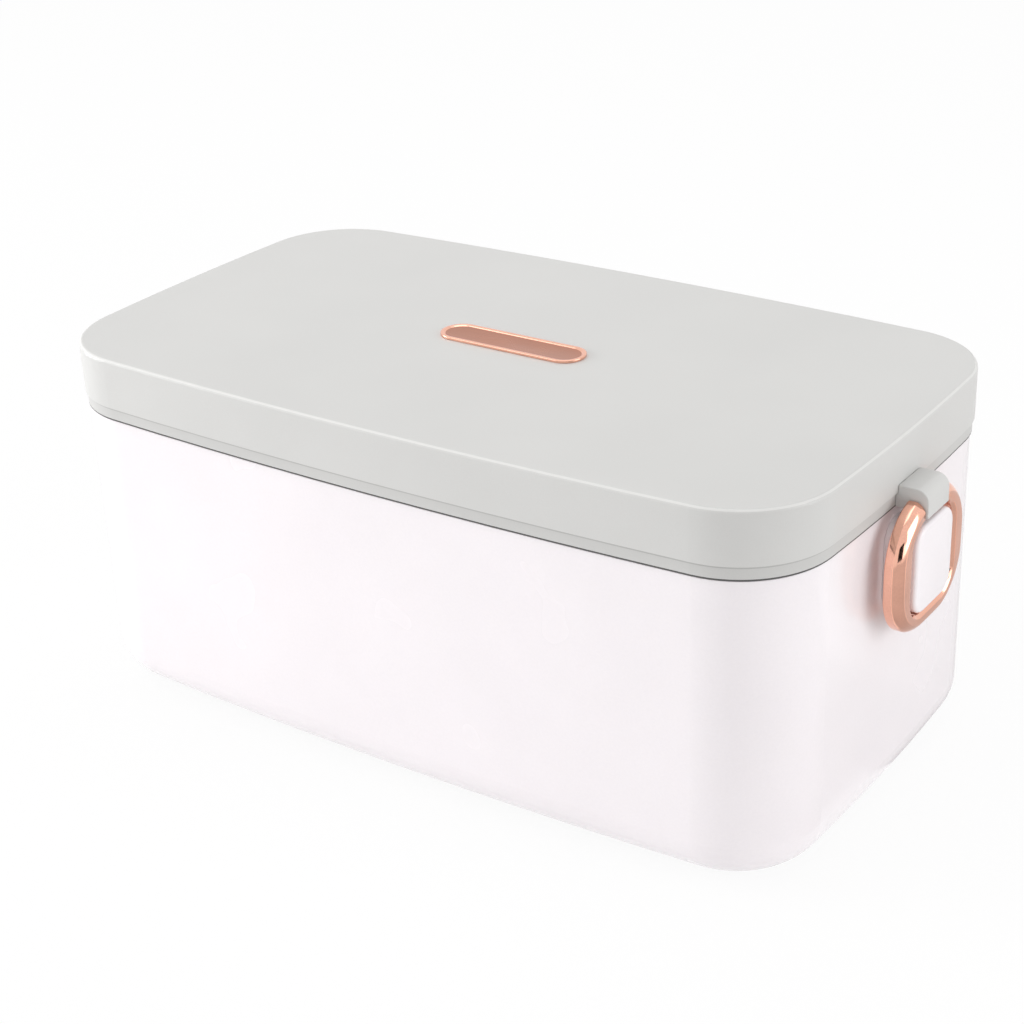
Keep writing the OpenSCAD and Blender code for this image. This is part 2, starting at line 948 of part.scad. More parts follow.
module latch_ring_left() {
    color([0.84, 0.64, 0.55])
        mirror([1, 0, 0])
            ring_piece();
}

// food container, drawn for the right-hand place
module container_tub() {
    wall_x = rim_length - 2 * container_rim;
    wall_y = rim_width - 2 * container_rim;
    wall_r = rim_corner - container_rim;
    translate([clid_mid, 0, 0])
        difference() {
            union() {
                block(wall_x, wall_y, wall_r, container_z, container_top)
                    round_section(wall_r, container_z, container_top, container_fillet, 0);
                plate(rim_length, rim_width, rim_corner, container_top - container_sheet, container_top);
            }
            block(
                wall_x - 2 * container_sheet,
                wall_y - 2 * container_sheet,
                wall_r - container_sheet,
                container_z + container_sheet,
                container_top + 2
            )
                round_section(
                    wall_r - container_sheet,
                    container_z + container_sheet,
                    container_top + 2,
                    container_fillet - container_sheet,
                    0
                );
        }
}

module container_right() {
    color([0.80, 0.81, 0.82])
        container_tub();
}

module container_left() {
    color([0.80, 0.81, 0.82])
        mirror([1, 0, 0])
            container_tub();
}

// container lid with a skirt over the rim and a raised steam boss
module container_cap() {
    translate([clid_mid, 0, 0])
        difference() {
            union() {
                plate(clid_length, clid_width, clid_corner, clid_skirt, clid_top);
                translate([0, 0, clid_top - 0.5])
                    cylinder(r = vent_radius + 3, h = 1.7);
            }
            plate(
                clid_length - 2 * clid_wall,
                clid_width - 2 * clid_wall,
                clid_corner - clid_wall,
                clid_skirt - 1,
                clid_plate
            );
            translate([0, 0, clid_plate - 1])
                cylinder(r = vent_radius - 2.9, h = 6);
            translate([0, 0, clid_top])
                cylinder(r = vent_radius + 0.1, h = 3);
        }
}

module container_lid_right() {
    color([0.93, 0.93, 0.92])
        container_cap();
}

module container_lid_left() {
    color([0.93, 0.93, 0.92])
        mirror([1, 0, 0])
            container_cap();
}

module cap_seal() {
    inner = container_rim + 1;
    translate([clid_mid, 0, 0])
        difference() {
            plate(
                clid_length - 2 * clid_wall,
                clid_width - 2 * clid_wall,
                clid_corner - clid_wall,
                container_top + 0.3,
                clid_plate
            );
            plate(
                rim_length - 2 * inner,
                rim_width - 2 * inner,
                rim_corner - inner,
                container_top - 1,
                clid_plate + 1
            );
        }
}

module container_seal_right() {
    color([0.82, 0.52, 0.42])
        cap_seal();
}

module container_seal_left() {
    color([0.82, 0.52, 0.42])
        mirror([1, 0, 0])
            cap_seal();
}

module vent_stopper() {
    translate([clid_mid, 0, 0])
        difference() {
            union() {
                translate([0, 0, clid_top])
                    cylinder(r = vent_radius, h = 2.2);
                translate([0, 0, clid_plate - 1])
                    cylinder(r = vent_radius - 3, h = 4);
            }
            translate([0, 0, clid_top + 1])
                cylinder(r = vent_radius - 2, h = 3);
        }
}

module vent_plug_right() {
    color([0.82, 0.52, 0.42])
        vent_stopper();
}

module vent_plug_left() {
    color([0.82, 0.52, 0.42])
        mirror([1, 0, 0])
            vent_stopper();
}

body_shell();
base_cover();
base_screws();
rubber_feet();
collar_ring();
water_pan();
heating_element();
heater_clamp();
clamp_nuts();
thermostat();
thermal_cutout();
power_inlet();
inlet_pins();
indicator_lens();
indicator_board();
internal_leads();
catch_right();
catch_left();
catch_screws();
lid_cover();
lid_liner();
lid_seal();
lid_screws();
badge_plate();
hook_right();
hook_left();
latch_ring_right();
latch_ring_left();
container_right();
container_left();
container_lid_right();
container_lid_left();
container_seal_right();
container_seal_left();
vent_plug_right();
vent_plug_left();
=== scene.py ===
"""Looks of an electric lunch box with two ring latches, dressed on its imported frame."""

import logging
import math
from dataclasses import dataclass, field
from enum import Enum
from typing import Callable, Iterable, Sequence

import bmesh
import bpy
from mathutils import Matrix, Vector

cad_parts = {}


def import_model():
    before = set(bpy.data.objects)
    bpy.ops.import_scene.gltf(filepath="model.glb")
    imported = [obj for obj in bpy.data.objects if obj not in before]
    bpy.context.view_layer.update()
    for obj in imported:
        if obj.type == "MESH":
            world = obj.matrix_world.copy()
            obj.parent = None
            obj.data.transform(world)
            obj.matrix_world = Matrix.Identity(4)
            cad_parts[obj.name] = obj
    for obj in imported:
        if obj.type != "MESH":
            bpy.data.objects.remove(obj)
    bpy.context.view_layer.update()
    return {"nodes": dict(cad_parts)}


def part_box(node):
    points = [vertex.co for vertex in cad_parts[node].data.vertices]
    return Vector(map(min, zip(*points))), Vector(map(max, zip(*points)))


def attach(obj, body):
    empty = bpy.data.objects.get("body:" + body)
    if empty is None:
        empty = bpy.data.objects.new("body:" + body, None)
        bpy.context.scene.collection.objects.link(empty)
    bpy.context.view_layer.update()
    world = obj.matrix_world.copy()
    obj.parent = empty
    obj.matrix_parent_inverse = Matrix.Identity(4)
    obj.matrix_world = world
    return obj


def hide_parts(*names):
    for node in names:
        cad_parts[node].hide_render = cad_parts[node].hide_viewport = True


log = logging.getLogger("lunch_box")

MM = 0.001
Point = tuple[float, float, float]
Colour = tuple[float, float, float]

# How rough the studio's floor and cards are.
PAPER_ROUGHNESS = 0.9
# A face counts as facing up if its normal's height is over this.
FACING_UP = 0.9
# A brushed pattern is squeezed to this share along its run, which draws it out.
DRAWN_OUT = 0.02


class Grain(Enum):
    """How the fine relief of a surface runs."""

    EVEN = "even"
    ALONG_X = "along_x"
    ALONG_Z = "along_z"


GRAIN_STRETCH: dict[Grain, Point] = {
    Grain.EVEN: (1.0, 1.0, 1.0),
    Grain.ALONG_X: (DRAWN_OUT, 1.0, 1.0),
    Grain.ALONG_Z: (1.0, 1.0, DRAWN_OUT),
}


@dataclass(frozen=True)
class PaintedLightLine:
    """A level line of painted light in a finish: its height and half its width in millimetres, and how
    much it lightens or darkens.

    The gain is what the finish's colour is multiplied by along the line: below 1 for painted shade,
    above 1 for a painted highlight.
    """

    height: float
    half: float
    gain: float


@dataclass(frozen=True)
class Finish:
    """One surface finish, in the words of the shader that makes it.

    The colour is in display values from 0 to 1. The sizes and depths of grain and waves are in
    millimetres.
    """

    name: str
    colour: Colour
    roughness: float
    metallic: float = 0.0
    coat: float = 0.0
    coat_roughness: float = 0.08
    specular: float = 0.5
    spread: float = 0.04
    tint: float = 0.015
    grain: Grain = Grain.EVEN
    grain_size: float = 0.5
    grain_depth: float = 0.004
    wave_size: float = 18.0
    wave_depth: float = 0.0
    wear: float = 0.0
    anisotropy: float = 0.0
    transmission: float = 0.0
    glow: float = 0.0
    inside: float = 0.0
    # Lines of painted shade and painted highlight, drawn over the colour at given heights.
    painted_light_lines: tuple[PaintedLightLine, ...] = ()


# A painted highlight: the lighter line along the lid's rounded top edge.
LID_EDGE_HIGHLIGHT = PaintedLightLine(120.05, 0.22, 1.05)
# Painted shadow: the dark seam line under the band, where the gap to the body lies in shade, and
# painted shade along the line where the band meets the cover's skirt.
BAND_SEAM_SHADOW = PaintedLightLine(99.9, 0.25, 0.42)
BAND_STEP_SHADE = PaintedLightLine(103.5, 0.22, 0.9)


WHITE_BODY = Finish(
    "white_body", (0.967, 0.948, 0.96), 0.24, coat=0.4, coat_roughness=0.08,
    grain_size=0.8, grain_depth=0.0012, wave_size=22.0, wave_depth=0.006, tint=0.008, inside=0.04,
)
GREY_LID = Finish(
    "grey_lid", (0.826, 0.826, 0.819), 0.42, grain_size=0.35, grain_depth=0.003,
    wave_size=30.0, wave_depth=0.006, tint=0.012, wear=0.05, inside=0.02,
    painted_light_lines=(LID_EDGE_HIGHLIGHT,),
)
GREY_BAND = Finish(
    "grey_band", (0.796, 0.796, 0.789), 0.44, grain_size=0.35, grain_depth=0.003,
    wave_size=30.0, wave_depth=0.004, tint=0.014, wear=0.05,
    painted_light_lines=(BAND_SEAM_SHADOW, BAND_STEP_SHADE),
)
ROSE_METAL = Finish(
    "rose_metal", (0.965, 0.735, 0.645), 0.11, metallic=1.0, spread=0.05, tint=0.03,
    grain_size=0.6, grain_depth=0.0006, wave_size=6.0, wave_depth=0.003, wear=0.12,
)
ROSE_BRUSHED = Finish(
    "rose_brushed", (0.745, 0.515, 0.425), 0.27, metallic=1.0, spread=0.08, tint=0.05,
    grain=Grain.ALONG_X, grain_size=0.18, grain_depth=0.004, anisotropy=0.5,
)
PAN_STEEL = Finish(
    "pan_steel", (0.80, 0.805, 0.81), 0.24, metallic=1.0, spread=0.08, tint=0.03,
    grain=Grain.ALONG_X, grain_size=0.3, grain_depth=0.002, wave_size=24.0, wave_depth=0.01,
)
TUB_STEEL = Finish(
    "tub_steel", (0.83, 0.832, 0.835), 0.2, metallic=1.0, spread=0.08, tint=0.03,
    grain=Grain.ALONG_Z, grain_size=0.3, grain_depth=0.0018, wave_size=20.0, wave_depth=0.008,
)
SCREW_STEEL = Finish(
    "screw_steel", (0.62, 0.62, 0.64), 0.3, metallic=1.0, spread=0.1, tint=0.06,
    grain_size=0.25, grain_depth=0.003,
)
CLAMP_STEEL = Finish(
    "clamp_steel", (0.66, 0.67, 0.66), 0.36, metallic=1.0, spread=0.1, tint=0.06,
    grain=Grain.ALONG_X, grain_size=0.3, grain_depth=0.004,
)
HEATER_ALLOY = Finish(
    "heater_alloy", (0.72, 0.73, 0.74), 0.42, metallic=1.0, spread=0.12, tint=0.06,
    grain_size=0.4, grain_depth=0.006,
)
PIN_BRASS = Finish(
    "pin_brass", (0.86, 0.80, 0.62), 0.22, metallic=1.0, spread=0.06, tint=0.04,
    grain_size=0.2, grain_depth=0.001,
)
DARK_BASE = Finish(
    "dark_base", (0.30, 0.30, 0.31), 0.55, grain_size=0.5, grain_depth=0.012, tint=0.05, wear=0.1,
)
SOCKET_BLACK = Finish(
    "socket_black", (0.10, 0.10, 0.11), 0.48, grain_size=0.4, grain_depth=0.006, tint=0.06,
)
FOOT_RUBBER = Finish(
    "foot_rubber", (0.12, 0.12, 0.13), 0.8, specular=0.3, grain_size=0.3, grain_depth=0.012,
    tint=0.1, spread=0.1,
)
SEAL_SILICONE = Finish(
    "seal_silicone", (0.88, 0.88, 0.86), 0.6, specular=0.35, grain_size=0.5, grain_depth=0.004,
    tint=0.03, inside=0.15,
)
ROSE_SILICONE = Finish(
    "rose_silicone", (0.82, 0.56, 0.47), 0.55, specular=0.35, grain_size=0.5, grain_depth=0.004,
    tint=0.04, inside=0.15,
)
CAP_PLASTIC = Finish(
    "cap_plastic", (0.91, 0.91, 0.90), 0.34, grain_size=0.5, grain_depth=0.003, wave_size=20.0,
    wave_depth=0.006, tint=0.02, inside=0.08,
)
PHENOLIC = Finish(
    "phenolic", (0.42, 0.30, 0.20), 0.5, grain_size=0.4, grain_depth=0.008, tint=0.12,
)
CERAMIC = Finish(
    "ceramic", (0.84, 0.83, 0.78), 0.45, grain_size=0.3, grain_depth=0.004, tint=0.05,
)
BOARD_GREEN = Finish(
    "board_green", (0.10, 0.33, 0.18), 0.35, grain_size=0.4, grain_depth=0.004, tint=0.12,
)
LEAD_SLEEVE = Finish(
    "lead_sleeve", (0.70, 0.30, 0.20), 0.6, grain=Grain.ALONG_Z, grain_size=0.4,
    grain_depth=0.02, tint=0.12,
)
LAMP_LENS = Finish(
    "lamp_lens", (0.82, 0.16, 0.08), 0.12, coat=0.5, grain_size=0.5, grain_depth=0.001,
    tint=0.05, transmission=0.45, glow=0.15,
)


def linear(value: float) -> float:
    """A display value from 0 to 1 as scene light."""
    return value / 12.92 if value <= 0.04045 else ((value + 0.055) / 1.055) ** 2.4


def scene_colour(colour: Colour, factor: float = 1.0) -> tuple[float, float, float, float]:
    """A display colour as an opaque scene colour.

    Args:
        colour: Red, green and blue from 0 to 1 as shown on a screen.
        factor: What each channel is multiplied by before it is converted.

    Returns:
        Red, green, blue and alpha for a shader socket.
    """
    r, g, b = (linear(min(1.0, max(0.0, c * factor))) for c in colour)
    return (r, g, b, 1.0)


@dataclass
class Workshop:
    """Makes one node material for each finish, once, and hands it out.

    The fields are what all finishes share: how far light goes into soft plastic, in metres, and
    in each colour; the broad pattern's size as a multiple of the waves' size; how many finer
    layers the patterns have; the part of a pattern's range that is used; and how much of the
    tint, the wear and the grain shows.
    """

    inside_depth: float = 0.002
    inside_reach: Point = (1.0, 0.9, 0.85)
    broad_size: float = 1.7
    broad_detail: float = 2.0
    fine_detail: float = 3.0
    pattern_low: float = 0.3
    pattern_high: float = 0.7
    light_share: float = 0.5
    rub_share: float = 0.3
    grain_strength: float = 0.6
    wave_strength: float = 1.0
    made: dict[str, bpy.types.Material] = field(default_factory=dict)

    def coat(self, finish: Finish) -> bpy.types.Material:
        """The material of a finish.

        Args:
            finish: The finish to look up or make.

        Returns:
            Its node material.
        """
        if finish.name not in self.made:
            self.made[finish.name] = self._build(finish)
        return self.made[finish.name]

    def _build(self, finish: Finish) -> bpy.types.Material:
        """Builds the node tree of a finish.

        Args:
            finish: The finish to build.

        Returns:
            The new material.
        """
        material = bpy.data.materials.new(finish.name)
        material.use_nodes = True
        tree = material.node_tree
        shader = tree.nodes["Principled BSDF"]
        shader.inputs["Metallic"].default_value = finish.metallic
        shader.inputs["Specular IOR Level"].default_value = finish.specular
        shader.inputs["Coat Weight"].default_value = finish.coat
        shader.inputs["Coat Roughness"].default_value = finish.coat_roughness
        shader.inputs["Anisotropic"].default_value = finish.anisotropy
        shader.inputs["Transmission Weight"].default_value = finish.transmission
        if finish.inside:
            shader.inputs["Subsurface Weight"].default_value = finish.inside
            shader.inputs["Subsurface Scale"].default_value = self.inside_depth
            shader.inputs["Subsurface Radius"].default_value = self.inside_reach
        if finish.glow:
            shader.inputs["Emission Color"].default_value = scene_colour(finish.colour)
            shader.inputs["Emission Strength"].default_value = finish.glow
        place = tree.nodes.new("ShaderNodeTexCoord").outputs["Object"]
        even = GRAIN_STRETCH[Grain.EVEN]
        broad = self._noise(tree, place, even, finish.wave_size * self.broad_size, self.broad_detail)
        stretch = GRAIN_STRETCH[finish.grain]
        fine = self._noise(tree, place, stretch, finish.grain_size, self.fine_detail)
        self._colour(tree, shader, finish, broad, fine)
        self._roughness(tree, shader, finish, broad, fine)
        self._relief(tree, shader, finish, place, fine)
        return material

    def _noise(
        self,
        tree: bpy.types.NodeTree,
        place: bpy.types.NodeSocket,
        stretch: Point,
        size_mm: float,
        detail: float,
    ) -> bpy.types.NodeSocket:
        """A noise pattern whose bumps are about size_mm across.

        Args:
            tree: The material's node tree.
            place: The socket that gives the place on the piece.
            stretch: How much the pattern is drawn out along each axis.
            size_mm: The size of a bump in millimetres.
            detail: How many finer layers it has.

        Returns:
            The socket with the pattern, from 0 to 1.
        """
        mapping = tree.nodes.new("ShaderNodeMapping")
        mapping.inputs["Scale"].default_value = stretch
        noise = tree.nodes.new("ShaderNodeTexNoise")
        noise.inputs["Scale"].default_value = 1.0 / (size_mm * MM)
        noise.inputs["Detail"].default_value = detail
        tree.links.new(place, mapping.inputs["Vector"])
        tree.links.new(mapping.outputs["Vector"], noise.inputs["Vector"])
        return noise.outputs["Fac"]

    def _ramp(
        self, tree: bpy.types.NodeTree, source: bpy.types.NodeSocket, low: float, high: float
    ) -> bpy.types.NodeSocket:
        """The source's middle range spread over low to high.

        Args:
            tree: The material's node tree.
            source: A pattern from 0 to 1.
            low: The value where the pattern is lowest.
            high: The value where it is highest.

        Returns:
            The socket with the spread value.
        """
        spread = tree.nodes.new("ShaderNodeMapRange")
        spread.inputs["From Min"].default_value = self.pattern_low
        spread.inputs["From Max"].default_value = self.pattern_high
        spread.inputs["To Min"].default_value = low
        spread.inputs["To Max"].default_value = high
        tree.links.new(source, spread.inputs["Value"])
        return spread.outputs["Result"]

    def _colour(
        self,
        tree: bpy.types.NodeTree,
        shader: bpy.types.Node,
        finish: Finish,
        broad: bpy.types.NodeSocket,
        fine: bpy.types.NodeSocket,
    ) -> None:
        """Lets the colour drift a little over the piece and through its grain.

        Args:
            tree: The material's node tree.
            shader: The shader that it feeds.
            finish: The finish being built.
            broad: The broad pattern.
            fine: The grain's pattern.
        """
        light = 1.0 + finish.tint * self.light_share
        mix = tree.nodes.new("ShaderNodeMix")
        mix.data_type = "RGBA"
        mix.inputs["A"].default_value = scene_colour(finish.colour, 1.0 - finish.tint)
        mix.inputs["B"].default_value = scene_colour(finish.colour, light)
        tree.links.new(self._ramp(tree, broad, 0.0, 1.0), mix.inputs["Factor"])
        grain = tree.nodes.new("ShaderNodeMix")
        grain.data_type = "RGBA"
        grain.blend_type = "MULTIPLY"
        grain.inputs["B"].default_value = scene_colour((1.0, 1.0, 1.0), 1.0 - finish.tint)
        tree.links.new(self._ramp(tree, fine, 0.0, 1.0), grain.inputs["Factor"])
        tree.links.new(mix.outputs["Result"], grain.inputs["A"])
        tree.links.new(self._paint_light_lines(tree, finish, grain.outputs["Result"]), shader.inputs["Base Color"])

    def _paint_light_lines(
        self, tree: bpy.types.NodeTree, finish: Finish, colour: bpy.types.NodeSocket
    ) -> bpy.types.NodeSocket:
        """Paints the finish's lines of painted light over its colour: painted shade in a seam or under
        a step, a painted highlight on an edge.

        Args:
            tree: The node tree to add to.
            finish: The finish whose painted light lines are drawn.
            colour: The colour so far.

        Returns:
            The colour with its painted shade and painted highlights.
        """
        if not finish.painted_light_lines:
            return colour
        split = tree.nodes.new("ShaderNodeSeparateXYZ")
        place = tree.nodes.new("ShaderNodeTexCoord").outputs["Object"]
        tree.links.new(place, split.inputs["Vector"])
        # Painted light: each line mixes in the finish's colour times its gain, darker for painted
        # shade, lighter for a painted highlight.
        for light_line in finish.painted_light_lines:
            test = tree.nodes.new("ShaderNodeMath")
            test.operation = "COMPARE"
            test.inputs[1].default_value = light_line.height * MM
            test.inputs[2].default_value = light_line.half * MM
            tree.links.new(split.outputs["Z"], test.inputs[0])
            mix = tree.nodes.new("ShaderNodeMix")
            mix.data_type = "RGBA"
            mix.inputs["B"].default_value = scene_colour(finish.colour, light_line.gain)
            tree.links.new(test.outputs["Value"], mix.inputs["Factor"])
            tree.links.new(colour, mix.inputs["A"])
            colour = mix.outputs["Result"]
        return colour

    def _roughness(
        self,
        tree: bpy.types.NodeTree,
        shader: bpy.types.Node,
        finish: Finish,
        broad: bpy.types.NodeSocket,
        fine: bpy.types.NodeSocket,
    ) -> None:
        """Makes handled patches shine a little more than the rest, with fine rubs.

        Args:
            tree: The material's node tree.
            shader: The shader that it feeds.
            finish: The finish being built.
            broad: The broad pattern.
            fine: The grain's pattern.
        """
        glossy, dull = finish.roughness - finish.spread, finish.roughness + finish.spread
        base = self._ramp(tree, broad, glossy, dull)
        depth = finish.wear * self.rub_share
        rub = self._ramp(tree, fine, -depth, depth)
        add = tree.nodes.new("ShaderNodeMath")
        add.operation = "ADD"
        add.use_clamp = True
        tree.links.new(base, add.inputs[0])
        tree.links.new(rub, add.inputs[1])
        tree.links.new(add.outputs["Value"], shader.inputs["Roughness"])

    def _relief(
        self,
        tree: bpy.types.NodeTree,
        shader: bpy.types.Node,
        finish: Finish,
        place: bpy.types.NodeSocket,
        fine: bpy.types.NodeSocket,
    ) -> None:
        """Adds the moulded or brushed grain, over the slow waves that a large wall has.

        Args:
            tree: The material's node tree.
            shader: The shader that it feeds.
            finish: The finish being built.
            place: The socket that gives the place on the piece.
            fine: The grain's pattern.
        """
        grain = tree.nodes.new("ShaderNodeBump")
        grain.inputs["Strength"].default_value = self.grain_strength
        grain.inputs["Distance"].default_value = finish.grain_depth * MM
        tree.links.new(fine, grain.inputs["Height"])
        if finish.wave_depth:
            wave = self._noise(tree, place, GRAIN_STRETCH[Grain.EVEN], finish.wave_size, 0.0)
            slow = tree.nodes.new("ShaderNodeBump")
            slow.inputs["Strength"].default_value = self.wave_strength
            slow.inputs["Distance"].default_value = finish.wave_depth * MM
            tree.links.new(wave, slow.inputs["Height"])
            tree.links.new(slow.outputs["Normal"], grain.inputs["Normal"])
        tree.links.new(grain.outputs["Normal"], shader.inputs["Normal"])


def settle() -> None:
    """Leaves edit mode and deselects everything."""
    if bpy.context.object and bpy.context.object.mode != "OBJECT":
        bpy.ops.object.mode_set(mode="OBJECT")
    bpy.ops.object.select_all(action="DESELECT")


class Blank:
    """One piece on the bench: a primitive that is shaped in edit mode, in millimetres."""

    # An edge is sharp if its faces turn by more than this, in degrees.
    SHARP_TURN = 20.0
    # Corners nearer to the middle than this, in millimetres, move with neither half.
    MIDDLE_SLACK = 1e-4

    def __init__(self, name: str) -> None:
        """Takes the active object, fresh from a primitive, and names it.

        Args:
            name: The piece's name.
        """
        self.obj: bpy.types.Object = bpy.context.object
        self.obj.name = name
        self.obj.data.name = name

    @classmethod
    def cube(cls, name: str, low: Point, high: Point) -> "Blank":
        """A block between two corners.

        Args:
            name: The piece's name.
            low: Its lowest corner, in millimetres.
            high: Its highest corner, in millimetres.

        Returns:
            The new piece.
        """
        settle()
        middle = [(a + b) / 2 * MM for a, b in zip(low, high)]
        size = [(b - a) * MM for a, b in zip(low, high)]
        bpy.ops.mesh.primitive_cube_add(size=1.0, location=middle, scale=size)
        piece = cls(name)
        piece.freeze()
        return piece

    @classmethod
    def cylinder(
        cls, name: str, middle: Point, radius: float, length: float, turn: Point, sides: int
    ) -> "Blank":
        """A cylinder at its place.

        Args:
            name: The piece's name.
            middle: Its centre, in millimetres.
            radius: Its radius, in millimetres.
            length: Its length, in millimetres.
            turn: Its turn about the three axes, in degrees.
            sides: How many sides it has.

        Returns:
            The new piece.
        """
        settle()
        bpy.ops.mesh.primitive_cylinder_add(
            vertices=sides,
            radius=radius * MM,
            depth=length * MM,
            location=[c * MM for c in middle],
            rotation=[math.radians(t) for t in turn],
        )
        piece = cls(name)
        piece.freeze()
        return piece

    def spread(self, x: float, y: float, z: float) -> None:
        """Draws the piece's halves apart, which makes a round outline an oblong one.

        Args:
            x: How far the halves either side of x = 0 move, in millimetres.
            y: The same across y = 0.
            z: The same across the piece's middle height.
        """
        corners = self.obj.data.vertices
        level = sum((v.co.z for v in corners), 0.0) / len(corners) / MM
        for axis, step in ((0, x), (1, y), (2, z)):
            for side in (-1, 1):
                if not step:
                    continue
                self.edit("VERT")
                mesh = bmesh.from_edit_mesh(self.obj.data)
                for vert in mesh.verts:
                    place = vert.co[axis] / MM - (level if axis == 2 else 0.0)
                    vert.select_set(place * side > self.MIDDLE_SLACK)
                mesh.select_flush_mode()
                bmesh.update_edit_mesh(self.obj.data)
                move = [0.0, 0.0, 0.0]
                move[axis] = side * step * MM
                bpy.ops.transform.translate(value=move)
                bpy.ops.object.mode_set(mode="OBJECT")

    def take(self) -> None:
        """Selects this piece alone and makes it the active one."""
        settle()
        self.obj.select_set(True)
        bpy.context.view_layer.objects.active = self.obj

    def freeze(self) -> None:
        """Puts the object's place and size into its mesh."""
        self.take()
        bpy.ops.object.transform_apply(location=True, rotation=True, scale=True)

    def edit(self, mode: str) -> None:
        """Enters edit mode with nothing selected.

        Args:
            mode: VERT, EDGE or FACE, for what is picked there.
        """
        self.take()
        bpy.ops.object.mode_set(mode="EDIT")
        bpy.ops.mesh.select_mode(type=mode)
        bpy.ops.mesh.select_all(action="DESELECT")

    def pick_faces(self, test: Callable[[Vector, Vector], bool]) -> None:
        """Selects the faces that pass a test.

        Args:
            test: Takes a face's centre in millimetres and its normal.
        """
        mesh = bmesh.from_edit_mesh(self.obj.data)
        for face in mesh.faces:
            face.select_set(test(face.calc_center_median() / MM, face.normal))
        bmesh.update_edit_mesh(self.obj.data)

    def pick_edges(self, test: Callable[[Vector, Vector], bool]) -> None:
        """Selects the sharp edges that pass a test.

        Args:
            test: Takes an edge's two ends in millimetres.
        """
        mesh = bmesh.from_edit_mesh(self.obj.data)
        for edge in mesh.edges:
            sharp = edge.calc_face_angle(0.0) > math.radians(self.SHARP_TURN)
            edge.select_set(sharp and test(edge.verts[0].co / MM, edge.verts[1].co / MM))
        mesh.select_flush_mode()
        bmesh.update_edit_mesh(self.obj.data)

    def round_edges(
        self, test: Callable[[Vector, Vector], bool], radius: float, steps: int, profile: float = 0.5
    ) -> None:
        """Rounds the edges that pass a test.

        Args:
            test: Takes an edge's two ends in millimetres.
            radius: The rounding's radius, in millimetres.
            steps: How many steps it has.
            profile: 0.5 for a full round, towards 0.25 for a flatter one.
        """
        self.edit("EDGE")
        self.pick_edges(test)
        bpy.ops.mesh.bevel(
            offset=radius * MM, offset_type="OFFSET", segments=steps, profile=profile, affect="EDGES"
        )
        bpy.ops.object.mode_set(mode="OBJECT")

    def cut(self, tool: "Blank") -> None:
        """Takes another piece's shape out of this one, and removes that piece.

        Args:
            tool: The piece that is taken out.
        """
        settle()
        knife = self.obj.modifiers.new("cut", "BOOLEAN")
        knife.operation = "DIFFERENCE"
        knife.solver = "EXACT"
        knife.object = tool.obj
        self.apply("cut")
        bpy.data.objects.remove(tool.obj)

    def apply(self, name: str) -> None:
        """Applies the modifier of this name to the mesh."""
        self.take()
        bpy.ops.object.modifier_apply(modifier=name)

    def soften(self, radius: float, steps: int = 3, angle: float = 30.0) -> None:
        """Breaks the sharp edges with a small radius.

        Args:
            radius: The radius in millimetres.
            steps: How many steps it has.
            angle: Edges sharper than this, in degrees, are softened.
        """
        edge = self.obj.modifiers.new("soft", "BEVEL")
        edge.width = radius * MM
        edge.segments = steps
        edge.limit_method = "ANGLE"
        edge.angle_limit = math.radians(angle)
        edge.use_clamp_overlap = True
        edge.harden_normals = False
        self.apply("soft")

    def join(self, other: "Blank") -> None:
        """Makes another piece part of this one.

        Args:
            other: The piece that becomes part of it.
        """
        self.take()
        other.obj.select_set(True)
        bpy.ops.object.join()

    def smooth(self, angle: float = 40.0) -> None:
        """Shades smooth, except across edges sharper than the angle in degrees."""
        self.take()
        bpy.ops.object.shade_smooth_by_angle(angle=math.radians(angle))

    def mirrored(self, name: str) -> "Blank":
        """A copy on the other end of the box, with its own mesh.

        Args:
            name: The copy's name.

        Returns:
            The copy, facing outward.
        """
        self.take()
        bpy.ops.object.duplicate()
        copy = Blank(name)
        copy.obj.data.transform(Matrix.Diagonal((-1.0, 1.0, 1.0, 1.0)))
        copy.edit("FACE")
        bpy.ops.mesh.select_all(action="SELECT")
        bpy.ops.mesh.normals_make_consistent(inside=False)
        bpy.ops.object.mode_set(mode="OBJECT")
        return copy

    def dress(self, *materials: bpy.types.Material) -> None:
        """Gives the piece its materials, one slot each.

        Args:
            materials: The materials, in the order of their slots.
        """
        self.obj.data.materials.clear()
        for material in materials:
            self.obj.data.materials.append(material)


def near(a: float, b: float, slack: float = 0.05) -> bool:
    """Whether two lengths in millimetres are the same within the slack."""
    return abs(a - b) < slack


def both_at(a: Vector, b: Vector, x: float) -> bool:
    """Whether both ends of an edge are this far along x, in millimetres."""
    return near(a.x, x) and near(b.x, x)


def place_piece(piece: Blank, body: str, slot: str, *nodes: str) -> None:
    """Fixes a finished piece to its body and lets it stand for its nodes.

    Args:
        piece: The finished piece.
        body: The CAD body it rides on.
        slot: Not used; the record's material slot of the piece's finish.
        nodes: The CAD nodes it stands for.
    """
    piece.smooth()
    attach(piece.obj, body)
    if nodes:
        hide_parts(*nodes)
    log.info("%s rides on %s with %d faces", piece.obj.name, body, len(piece.obj.data.polygons))


